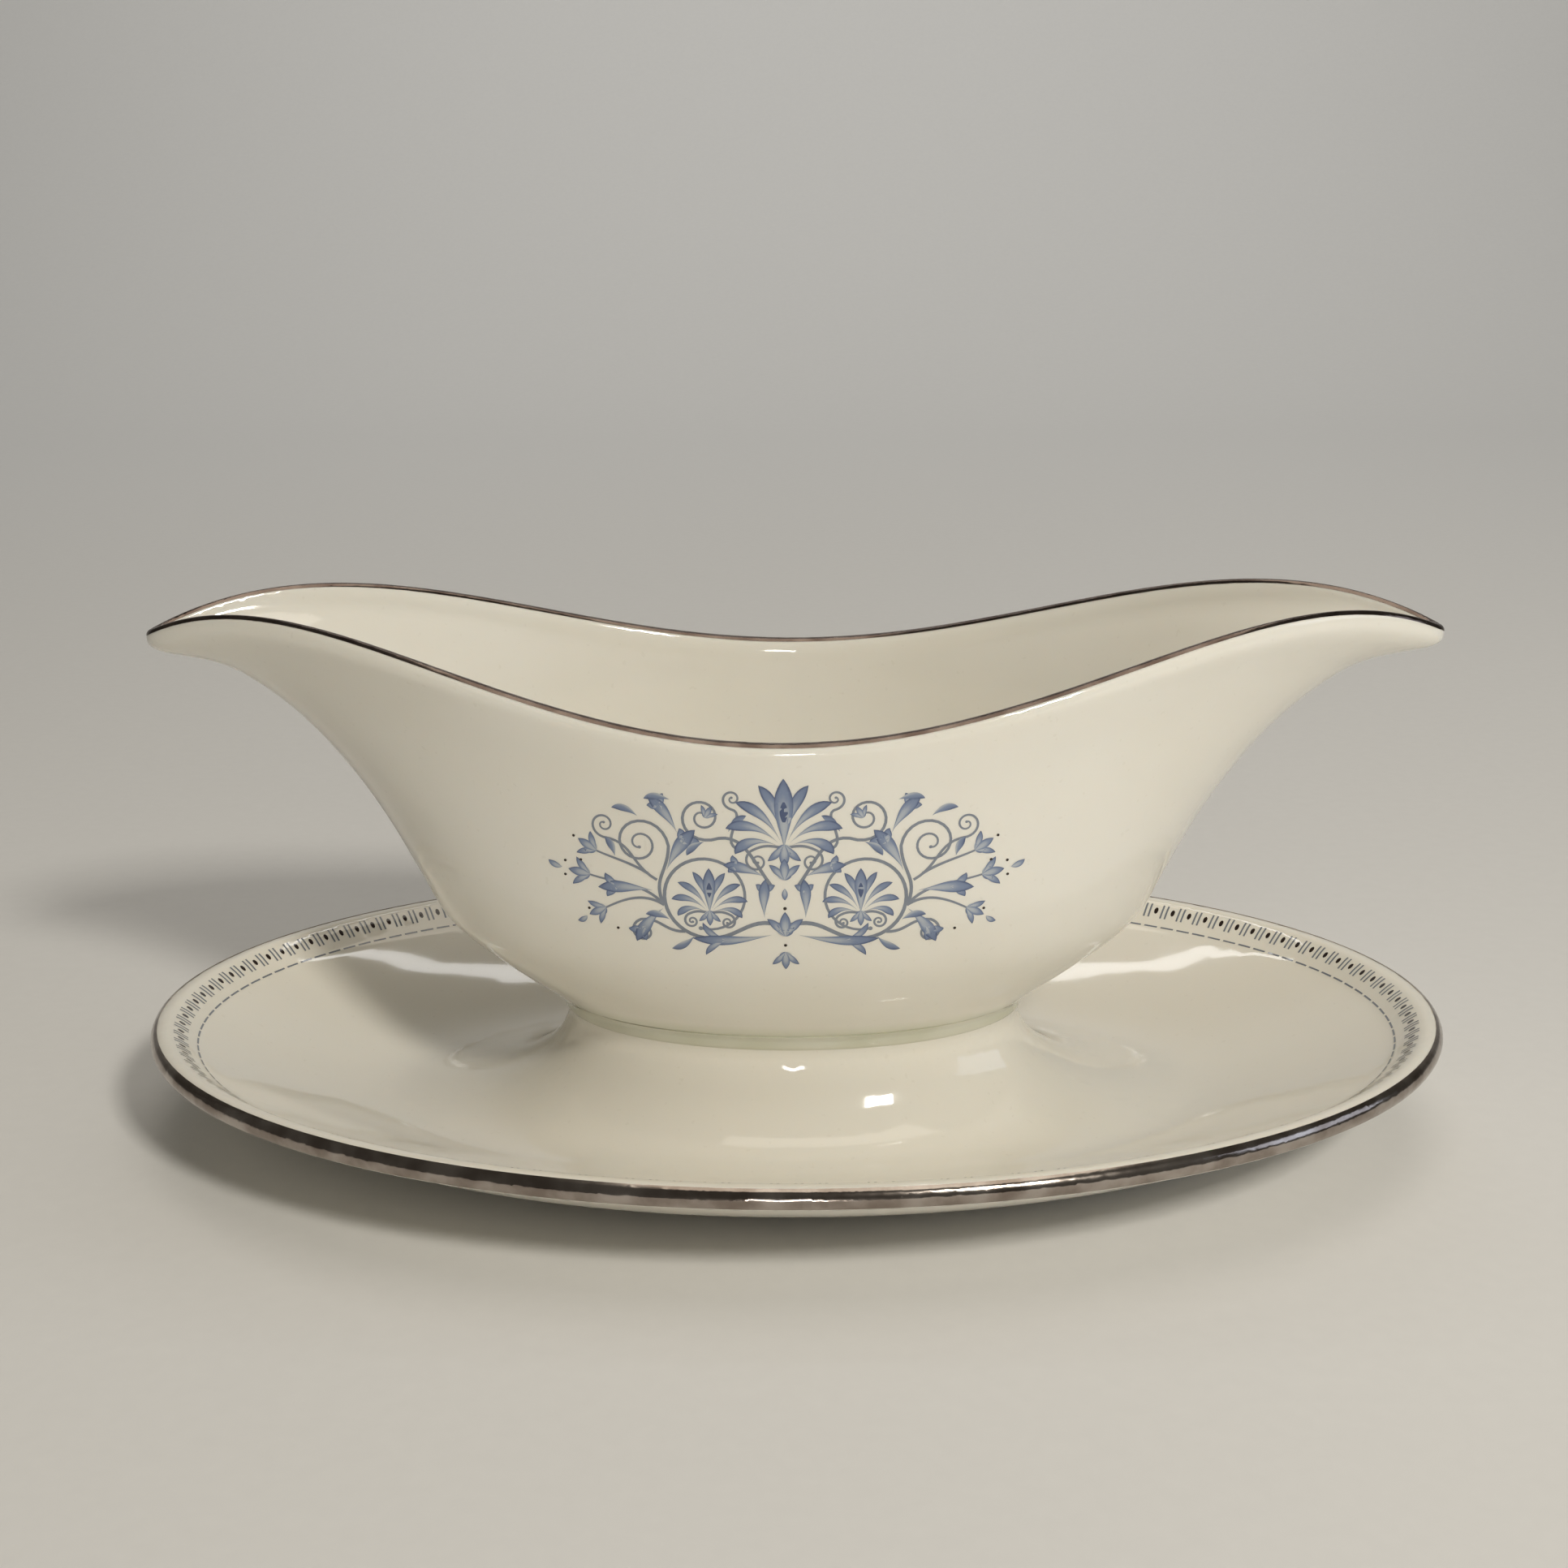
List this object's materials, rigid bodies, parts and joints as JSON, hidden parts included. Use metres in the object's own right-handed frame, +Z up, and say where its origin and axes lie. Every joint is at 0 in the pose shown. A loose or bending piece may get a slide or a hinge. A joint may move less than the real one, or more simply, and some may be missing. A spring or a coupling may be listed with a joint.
{
  "type": "gravy boat",
  "caption": "Boat-shaped gravy server with a pouring lip at each end, fixed on an oval underplate; glazed china with metal-lined edges and printed ornament.",
  "frame": {"origin": "middle of the foot ring, on the surface that the underplate stands on", "axes": "+X along the boat towards one pouring lip, +Y across it, +Z up"},
  "size_m": [0.225, 0.1514, 0.0923],
  "materials": {
    "boat_china": "glossy ivory glaze",
    "plate_china": "glossy ivory glaze",
    "fired_slip": "fired slip, unglazed",
    "pooled_glaze": "pooled clear glaze",
    "boat_metal": "fired bright platinum",
    "plate_metal": "fired bright platinum",
    "border_print": "printed transfer under gloss",
    "floral_print_front": "printed transfer under gloss",
    "floral_print_back": "printed transfer under gloss"
  },
  "bodies": {
    "root": {"boat_bowl": "boat_china", "underplate": "plate_china", "luting_slip_ring": "fired_slip", "seam_glaze_bead": "pooled_glaze", "boat_rim_line": "boat_metal", "plate_rim_band": "plate_metal", "border_transfer": "border_print", "floral_transfer_front": "floral_print_front", "floral_transfer_back": "floral_print_back"}
  },
  "joints": []
}
